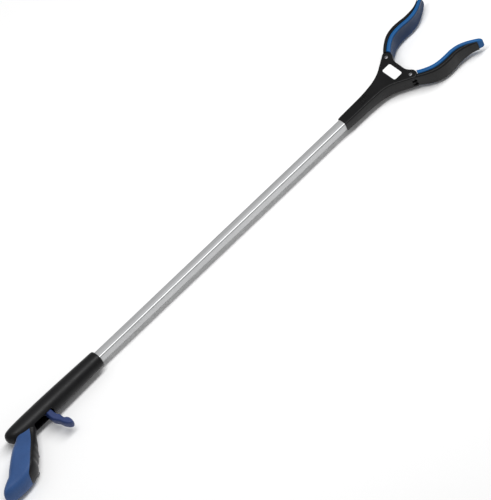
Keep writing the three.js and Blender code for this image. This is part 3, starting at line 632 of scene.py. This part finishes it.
strip = common(grip_full, front)
shell = join(barrel(), grip_core, strip)
SCREWS = [("tail", -697, 2.5, -11.2), ("middle", -636, -8.9, -8.9), ("grip", -702.5, -39.3, -12.2), ("butt", -719.6, -56.8, -14.2)]
posts = [cyl_z(x, y, 3.1, -9.2, 9.2) for _, x, y, _ in SCREWS] + [cyl_z(-652, 8.2, 2.9, 3.9, 11), cyl_z(-652, 8.2, 2.9, -11, -3.9)]
inner = common(join(posts[0], *posts[1:]), shell, keep=True)
hollow = pillow(inset(grip_outline, 6.0, 120), lambda x, y: np.minimum(grip_height(5)(x, y), 7.2), 0.6, 2.0)
shell = cut(shell, chamber(-706, -630.5, (-698, -680)), hollow, chamber(-626.5, -602), chamber(-599, -580), chamber(-563, -556.5))
shell = join(shell, inner)
slot_outline = np.array([(-660.3 + a, b) for a, b in round_rect(16.7, 7.2, 2.4, 8)])
slot_cut = loft([[(x, y, z) for x, z in slot_outline] for y in (-30, -6)])
SEAT = [(TUBE_REAR - 0.3, 6.65, 6.65, 2.6), (-540, 6.65, 6.65, 2.6)]
shell = cut(shell, beam_x(SEAT), cyl_x(-632, -626, 4.4), slot_cut, cyl_z(-652, 8.2, 1.6, -8.6, 8.6))
for _, x, y, z in SCREWS:
    shell = cut(shell, cyl_z(x, y, 1.6, -20, 6.6), cyl_z(x, y, 3.0, -20, z + 1.8))
shell = cut(shell, cyl_z(-572, 0, 1.9, -20, -5), cyl_z(-572, 0, 2.9, -20, -8.6))
half = common(copy_of(shell), Z_UP())
finish_piece(half, "handle_shell_left", "housing", "handle", "housing_left", biggest=True)
half = common(shell, Z_DOWN())
finish_piece(half, "handle_shell_right", "housing", "handle", "housing_right", biggest=True)


def screw(name, node, x, y, z_head, length, r=2.7, h=1.5, shank=1.3):
    top = z_head - h
    profile = [(0.3, top + 0.02), (r * 0.35, top), (r * 0.62, top + 0.08), (r * 0.8, top + 0.28), (r * 0.93, top + 0.6), (r, top + 0.95), (r, z_head - 0.12), (r - 0.12, z_head), (shank + 0.1, z_head), (shank, z_head + 0.1)]
    turns = int((length - 1.5) / 0.9)
    for k in range(turns):
        z = z_head + 0.8 + k * 0.9
        profile += [(shank - 0.22, z), (shank, z + 0.28), (shank, z + 0.42), (shank - 0.22, z + 0.7)]
    profile += [(shank - 0.25, z_head + length - 0.1), (0.3, z_head + length)]
    o = lathe_z(x, y, profile, 40)
    arm = r * 0.55
    o = cut(o, box((x - arm, y - 0.35, top - 1), (x + arm, y + 0.35, top + 0.85)), box((x - 0.35, y - arm, top - 1), (x + 0.35, y + arm, top + 0.85)))
    finish_piece(o, name, "steel", "handle", node)


for label, x, y, z in SCREWS:
    screw("screw_" + label, "housing_screw_" + label, x, y, z + 1.5, 4.9 - z)
screw("screw_tube", "tube_set_screw", -572, 0, -8.9, 4.3, 2.6, 1.2, 1.6)

# ------------------------------------------------------------------ trigger
TRIGGER = [
    (-655.4, -13), (-656, -19), (-655.8, -24), (-654.2, -28.6), (-652.2, -33), (-651.4, -38), (-649.6, -43), (-646.8, -47),
    (-643.4, -49), (-640.8, -48), (-639.6, -44.6), (-639.4, -40.6), (-640.6, -36.6), (-643.4, -33.4), (-643.6, -30), (-643.6, -26),
    (-645.4, -22), (-645.8, -18), (-645.6, -12), (-647, -4), (-648.8, 3), (-649.2, 7), (-649.7, 9), (-651, 10.2), (-653, 10.2), (-654.3, 9), (-654.8, 7),
    (-655.2, 3), (-655.2, -4),
]
smoothstep = lambda a, b, v: (lambda t: t * t * (3 - 2 * t))(np.clip((v - a) / (b - a), 0, 1))
trigger = pillow(anticlockwise(catmull(TRIGGER, 300, closed=True)), lambda x, y: 3.3 + 3.0 * smoothstep(-7.6, -10.6, y), 2.6, 2.1, rows=[0.05, 0.16, 0.34, 0.6, 0.95, 1.4, 1.9, 2.5], grid=0.9)
trigger = cut(trigger, cyl_z(-652, 8.2, 1.6, -9, 9), cyl_z(-652, 0, 1.8, -9, 9))
finish_piece(trigger, "trigger_lever_blue", "trigger", "trigger_lever", "trigger")

# ------------------------------------------------------------------ head
HEAD = [
    (-105, 7.35, 7.45), (-100, 7.62, 7.62), (-85, 7.85, 7.85), (-66, 8.15, 8.1), (-56, 8.6, 8.5), (-48, 9.3, 9.0), (-40, 10.3, 9.5), (-33, 12, 9.9),
    (-30, 13, 10), (-25, 15.2, 10), (-20, 18, 10), (-15, 21.2, 10), (-10, 24.4, 10), (-5, 27.6, 10), (0, 30.6, 10), (9.5, 36.2, 10),
]
half_width, half_height = pchip([(a, b) for a, b, _ in HEAD]), pchip([(a, c) for a, _, c in HEAD])


def arc(cx, cy, r, a0, a1, n):
    a = np.radians(np.linspace(a0, a1, n + 1))
    return np.stack([cx + r * np.cos(a), cy + r * np.sin(a)], 1)


side = [(x, float(half_width(x))) for x in np.linspace(-105, -3.2, 90)]
upper_edge = side + [(-1.2, 30.25), (0.3, 31.0), *arc(0, 22.8, 8.5, 80, -42, 40)] + [(4.6, 14.9), (3.4, 12.4), (2.7, 10.4), (2.4, 8.2), (2.4, 4.0)]
# Upper edge runs from the sleeve to the middle of the mouth; the lower edge is its mirror.
outline = np.array(upper_edge + [(2.4, 0.0)] + [(x, -y) for x, y in reversed(upper_edge)])
head_outline = anticlockwise(even(outline, 640, True))
FILLET = 1.7
head_solid = slab(head_outline, lambda x, y: half_height(x), FILLET, -0.5, grid=1.8)


def scaled_z(o, s):
    for v in o.data.vertices:
        v.co.z *= s
    if s < 0:
        o.data.flip_normals()
    return o


WEDGE = [(-46, -6.3), (-38, -7.2), (-30, -9.8), (-20, -15.3), (-10, -21.7), (-5, -24.9), (-2.6, -27), (-2.6, -21), (-0.1, -20.2), (0, -12), (0, 12), (-0.1, 20.2),
         (-2.6, 21), (-2.6, 27), (-5, 24.9), (-10, 21.7), (-20, 15.3), (-30, 9.8), (-38, 7.2), (-46, 6.3)]
HEAD_SCREWS = [("head_screw_a", -25, 10.2), ("head_screw_b", -25, -10.2)]
LABEL = dict(x0=-18.5, x1=-4.5, y=12.0)


def label_slab(grow, z0, z1, r):
    hx, cx = (LABEL["x1"] - LABEL["x0"]) / 2 + grow, (LABEL["x1"] + LABEL["x0"]) / 2
    return prism([(cx + a, b) for a, b in round_rect(hx, LABEL["y"] + grow, r, 10)], z0, z1)


def lobe_room(sy):
    return prism([(x, sy * y) for x, y in [*arc(0, 22.8, 6.7, 130, 322, 40), *arc(0, 22.8, 12.2, -42, 96, 24)]], -6.4, 6.4)


def head_half(sign):
    o = scaled_z(copy_of(head_solid), sign)
    clip = Z_UP() if sign > 0 else Z_DOWN()
    posts = [common(cyl_z(x, y, 3, -9, 9), o, keep=True) for _, x, y in HEAD_SCREWS]
    o = cut(o, prism(WEDGE, -7.2, 7.2), lobe_room(1), lobe_room(-1))
    o = join(o, *posts)
    o = cut(o, beam_x([(-112, 6.65, 6.65, 2.6), (-45.5, 6.65, 6.65, 2.6)]))
    if sign > 0:
        o = cut(o, latch_window(), label_slab(0.3, 9.3, 20, 2.7))
    for sy in (1, -1):
        o = cut(o, cyl_z(0, sy * 22.8, 2.3, -20, 20), cyl_z(0, sy * 22.8, 3.0, 9.2, 20), cyl_z(0, sy * 22.8, 3.0, -20, -9.2))
    for _, x, y in HEAD_SCREWS:
        o = cut(o, cyl_z(x, y, 1.6, -20, 6.4), cyl_z(x, y, 3.0, -20, -8.2))
    return common(o, clip)


finish_piece(head_half(1), "head_cover_top", "head", "handle", "head_shell_top", biggest=True)
finish_piece(head_half(-1), "head_cover_bottom", "head", "handle", "head_shell_bottom", biggest=True)
drop(head_solid)
for n, x, y in HEAD_SCREWS:
    screw(n.replace("screw", "bolt"), n, x, y, -8.5, 13.8)

# Blank label: a flat plate with rolled edges.
hx, cx = (LABEL["x1"] - LABEL["x0"]) / 2, (LABEL["x1"] + LABEL["x0"]) / 2
plate = slab(np.array([(cx + a, b) for a, b in round_rect(hx, LABEL["y"], 2.4, 14)]), lambda x, y: 10.15 + 0 * x, 0.22, 9.6, rows=[0.03, 0.08, 0.15, 0.22], grid=1.5)
finish_piece(plate, "blank_label", "label", "handle", "label_plate")

# Latch button with a rolled edge and three thumb ribs.
button = slab(np.array([((LATCH["x0"] + LATCH["x1"]) / 2 + a, b) for a, b in round_rect(6.1, 3.3, 0.9, 8)]),
              lambda x, y: 8.55 + 0.45 * np.clip(np.cos((x + 63.5) * 2 * np.pi / 3.0), 0, 1) ** 2, 0.5, 3.6, rows=[0.05, 0.12, 0.22, 0.35, 0.5], grid=0.35)
button = join(button, box((LATCH["x0"] - 1.2, -LATCH["y"] - 0.9, 3.6), (LATCH["x1"] + 1.2, LATCH["y"] + 0.9, 4.7)))
finish_piece(button, "sleeve_latch_tab", "head", "latch", "latch_button")

# ------------------------------------------------------------------ jaws
INNER = [(6.2, 20.2), (10, 24.5), (18.6, 31.6), (28, 36.6), (38, 38.6), (48, 38.8), (58, 38.5), (68.4, 39.9), (79, 43.8), (89.7, 50.2), (98.2, 56.4)]
inner_line = catmull(INNER, per=60)
DEPTH = pchip([(5, 10.2), (10, 10.8), (20, 12.4), (30, 13.2), (42, 13.3), (54, 13.0), (65, 12.2), (75, 11.0), (85, 9.6), (92, 8.6), (98.2, 7.5)])
RIM = pchip([(5, 6.0), (20, 6.2), (60, 5.9), (80, 5.5), (98.2, 4.9)])
BACK_OF_RIB = pchip([(5, 10.6), (12, 10.8), (19, 11.0), (28, 11.6), (38, 11.9), (48, 11.6), (58, 11.1), (68.4, 10.6), (79, 9.0), (90, 7.0), (98.2, 6.2)])
RIB = pchip([(5, 8.2), (12, 7.8), (18, 6.6), (26, 5.0), (36, 4.3), (60, 4.0), (98.2, 3.4)])
EDGE = pchip([(5, 1.8), (20, 2.2), (30, 2.6), (98.2, 2.6)])


def mirror_z(half):
    return [*half, *[(n, -z) for n, z in reversed(half)]]


def lining_section(x):
    h, rim, rib, e = (float(t(x)) for t in (DEPTH, RIM, RIB, EDGE))
    lip = min(rib + 0.35, h - e - 0.25)
    half = [(1.35, 0.3 * h), (0.35, 0.72 * h), (0, 0.87 * h), (1.3, h), (rim - 1.3, h), (rim, 0.88 * h), (rim, lip), (rim - 1.2, lip), (rim - 1.2, h - e), (2.9, h - e)]
    return mirror_z(half), [3, 1.6, 1.0, 1.3, 1.2, 1.2, 0.5, 0.3, 0.3, 0.3]


def arm_section(x):
    h, rim, rib, e, back = (float(t(x)) for t in (DEPTH, RIM, RIB, EDGE, BACK_OF_RIB))
    plate_half = h - e - 0.3
    r = min(rib, plate_half - 0.05)
    wide = 0.94 * h
    c = min(1.5, (back - rim - 0.3) * 0.6)
    half = [(3.2, plate_half), (rim - 1.5, plate_half), (rim - 1.5, r), (rim + 0.3, r), (rim + 0.3, wide), (back - c, wide), (back, wide - c)]
    return mirror_z(half), [0.2, 0.2, 0.3, 0.15, 0.35, 0.8, 0.9]


def frame_at(x):
    i = int(np.searchsorted(inner_line[:, 0], x))
    i = min(max(i, 1), len(inner_line) - 1)
    p, q = inner_line[i - 1], inner_line[i]
    t = (x - p[0]) / (q[0] - p[0])
    lo, hi = inner_line[max(i - 3, 0)], inner_line[min(i + 2, len(inner_line) - 1)]
    d = (hi - lo) / np.linalg.norm(hi - lo)
    return p + t * (q - p), np.array([-d[1], d[0]])


def ring_at(x, flat, sy):
    p, n = frame_at(x)
    return np.array([(p[0] + n[0] * a, sy * (p[1] + n[1] * a), z) for a, z in flat])


ARM_END = 92.0
for side_name, sy in (("upper", 1), ("lower", -1)):
    body = "jaw_" + side_name

    def fine(section, xs):
        out = []
        for x in xs:
            pts, cuts = section(x)
            out.append(ring_at(x, softened(pts, cuts + cuts[::-1]), sy))
        return out

    lining = loft(fine(lining_section, np.linspace(9.4, ARM_END + 0.35, 130)))
    tip_rings = []
    for x, d in [(92.2, 0), (93, 0), (94, 0.03), (95, 0.15), (95.8, 0.38), (96.5, 0.75), (97.1, 1.25), (97.5, 1.75), (97.75, 2.25), (97.9, 2.8)]:
        pts, cuts = lining_section(x)
        keep = [i for i in range(20) if i < 6 or i > 13]
        pts, cuts = [pts[i] for i in keep], [(cuts + cuts[::-1])[i] for i in keep]
        pts = [(2.9 + (n - 2.9) * (1 - d / 4.2), z - math.copysign(d, z) * abs(z) / 7.5) for n, z in pts]
        tip_rings.append(ring_at(x, softened(pts, cuts), sy))
    lining = join(lining, loft(tip_rings))
    lining = cut(lining, cyl_z(0, sy * 22.8, 9.25, -20, 20, 96))
    lining = finish_piece(lining, "jaw_pad_" + side_name, "jaw", body, "jaw_lining_" + side_name, smooth=38)
    # How far each point lies inside the gripping face, where the blue is painted darker as painted shade.
    pad_shade = lining.data.attributes.new("pad_shade", "FLOAT", "POINT")
    co = np.array([v.co for v in lining.data.vertices]) * 1000 - SHIFT
    yy = np.interp(co[:, 0], inner_line[:, 0], inner_line[:, 1])
    slope = np.interp(co[:, 0], inner_line[1:, 0], np.diff(inner_line[:, 1]) / np.diff(inner_line[:, 0]))
    depth_in = (sy * co[:, 1] - yy) / np.sqrt(1 + slope ** 2)
    share = np.abs(co[:, 2]) / DEPTH(co[:, 0])
    value = (1 - smoothstep(0.85, 0.97, share)) * (1 - smoothstep(1.6, 2.4, depth_in))
    pad_shade.data.foreach_set("value", value.astype(np.float32))

    pivot = (0.0, sy * 22.8)
    lever = (-4.21, sy * 12.64)
    arm = loft(fine(arm_section, np.linspace(6.4, ARM_END, 120)))
    arm = cut(arm, cyl_z(*pivot, 9.0, -20, 20, 96))
    mirror = lambda pts: [(x, sy * y) for x, y in pts]
    tongue = join(
        cyl_z(*pivot, 5.6, -6, 6, 72),
        prism(mirror([(0.5, 28.4), (3.8, 32.6), (8.4, 33.5), (10.2, 30.6), (7.4, 27.4), (6.9, 23.4), (5.2, 21.2), (0, 19)]), -6, 6),
        prism(mirror([(-4.6, 20.2), (-7.2, 13.6), (-6.5, 10.8), (-4.2, 9.6), (-1.8, 10.6), (-0.7, 15.8), (1, 17.7), (3.6, 19.2)]), -6, 6))
    fork = join(cyl_z(*pivot, 7.7, -1.9, 1.9, 72), prism(mirror([(-12, 20), (-12, 6), (2, 6), (4, 20)]), -1.9, 1.9))
    arm = cut(join(arm, tongue), fork, cyl_z(*pivot, 2.3, -20, 20), cyl_z(*lever, 1.8, -20, 20))
    finish_piece(arm, "jaw_frame_" + side_name, "head", body, "jaw_arm_" + side_name, smooth=38, biggest=True)

    rivet = lathe_z(0, sy * 22.8, [(0.3, -10.2), (1.6, -10.2), (2.2, -10.1), (2.5, -9.85), (2.6, -9.6), (2.0, -9.5), (2.0, 9.5), (2.65, 9.55), (2.72, 9.8), (2.7, 10.1), (2.5, 10.42), (2.1, 10.68), (1.5, 10.88), (1.0, 10.96), (0.85, 10.9), (0.7, 10.6), (0.3, 10.5)], 56)
    finish_piece(rivet, "jaw_rivet_" + side_name, "rivet", "handle", "jaw_pivot_pin_" + side_name)

# ------------------------------------------------------------------ return spring
turns, r_coil, r_wire = 5.0, 3.3, 0.5
count, around = 260, 14
centre = []
for i in range(count + 1):
    t = i / count
    pitch = t if 0.0 < t < 1.0 else t
    a = pitch * turns * 2 * math.pi
    centre.append((-47.2 + 12.6 * t, r_coil * math.cos(a), r_coil * math.sin(a)))
centre = np.array(centre)
tangent = np.gradient(centre, axis=0)
tangent /= np.linalg.norm(tangent, axis=1)[:, None]
rings = []
for c, t in zip(centre, tangent):
    out_dir = np.array([0.0, c[1], c[2]]) / r_coil
    out_dir = out_dir - t * out_dir.dot(t)
    out_dir /= np.linalg.norm(out_dir)
    third = np.cross(t, out_dir)
    a = np.arange(around) / around * 2 * np.pi
    rings.append(c + r_wire * (np.cos(a)[:, None] * out_dir + np.sin(a)[:, None] * third))
spring = finish_piece(loft(rings), "opening_spring", "spring", "handle", "return_spring", clean=False)
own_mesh(spring)

# ------------------------------------------------------------------ carried-over nodes
CARRY = {"trigger_pivot_pin": "steel", "trigger_drive_pin": "steel", "rod_clevis": "steel", "pull_rod": "steel", "rod_lock_nut": "steel",
         "crosshead": "nylon", "rod_guide_rear": "nylon", "rod_guide_front": "nylon", "jaw_drive_pin_upper": "steel", "jaw_drive_pin_lower": "steel"}
for node, look in CARRY.items():
    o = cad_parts[node]
    o.data.materials.clear()
    o.data.materials.append(MAT[look])

# ------------------------------------------------------------------ floor and light
floor_mesh = bpy.data.meshes.new("studio_floor")
floor_mesh.from_pydata([(-40, -40, -0.0004), (40, -40, -0.0004), (40, 40, -0.0004), (-40, 40, -0.0004)], [], [(0, 1, 2, 3)])
floor = bpy.data.objects.new("studio_floor", floor_mesh)
bpy.context.scene.collection.objects.link(floor)
m, nt, bsdf = new_material("pale_floor")
nt.links.new(mix_colour(nt, ramp(nt, noise(nt, 3.0), 0.3, 0.7, 0.0, 1.0), (0.905, 0.905, 0.905), (0.915, 0.915, 0.915)), bsdf.inputs["Base Color"])
bsdf.inputs["Roughness"].default_value = 0.9
bsdf.inputs["Specular IOR Level"].default_value = 0.1
floor_mesh.materials.append(m)

world = bpy.data.worlds.new("studio")
world.use_nodes = True
world.node_tree.nodes["Background"].inputs["Color"].default_value = (1, 1, 1, 1)
world.node_tree.nodes["Background"].inputs["Strength"].default_value = 0.38
bpy.context.scene.world = world


def softbox(name, direction, away, size, power, aim=(0.0, 0.0, 0.0), colour=(1, 1, 1)):
    data = bpy.data.lights.new(name, "AREA")
    data.shape = "RECTANGLE"
    data.size, data.size_y = size
    data.energy = power
    data.color = colour
    o = bpy.data.objects.new(name, data)
    bpy.context.scene.collection.objects.link(o)
    d = Vector(direction).normalized()
    z = d
    x = (Vector((1, 0, 0)) - z * z.x).normalized()
    y = z.cross(x)
    mw = Matrix((x, y, z)).transposed().to_4x4()
    mw.translation = Vector(aim) + d * away
    o.matrix_world = mw
    o.visible_camera = False
    return o


softbox("overhead", (0.20, -0.02, 0.98), 1.7, (2.4, 0.4), 30)
softbox("fill", (-0.2, 0.5, 0.84), 2.6, (2.4, 1.2), 3)
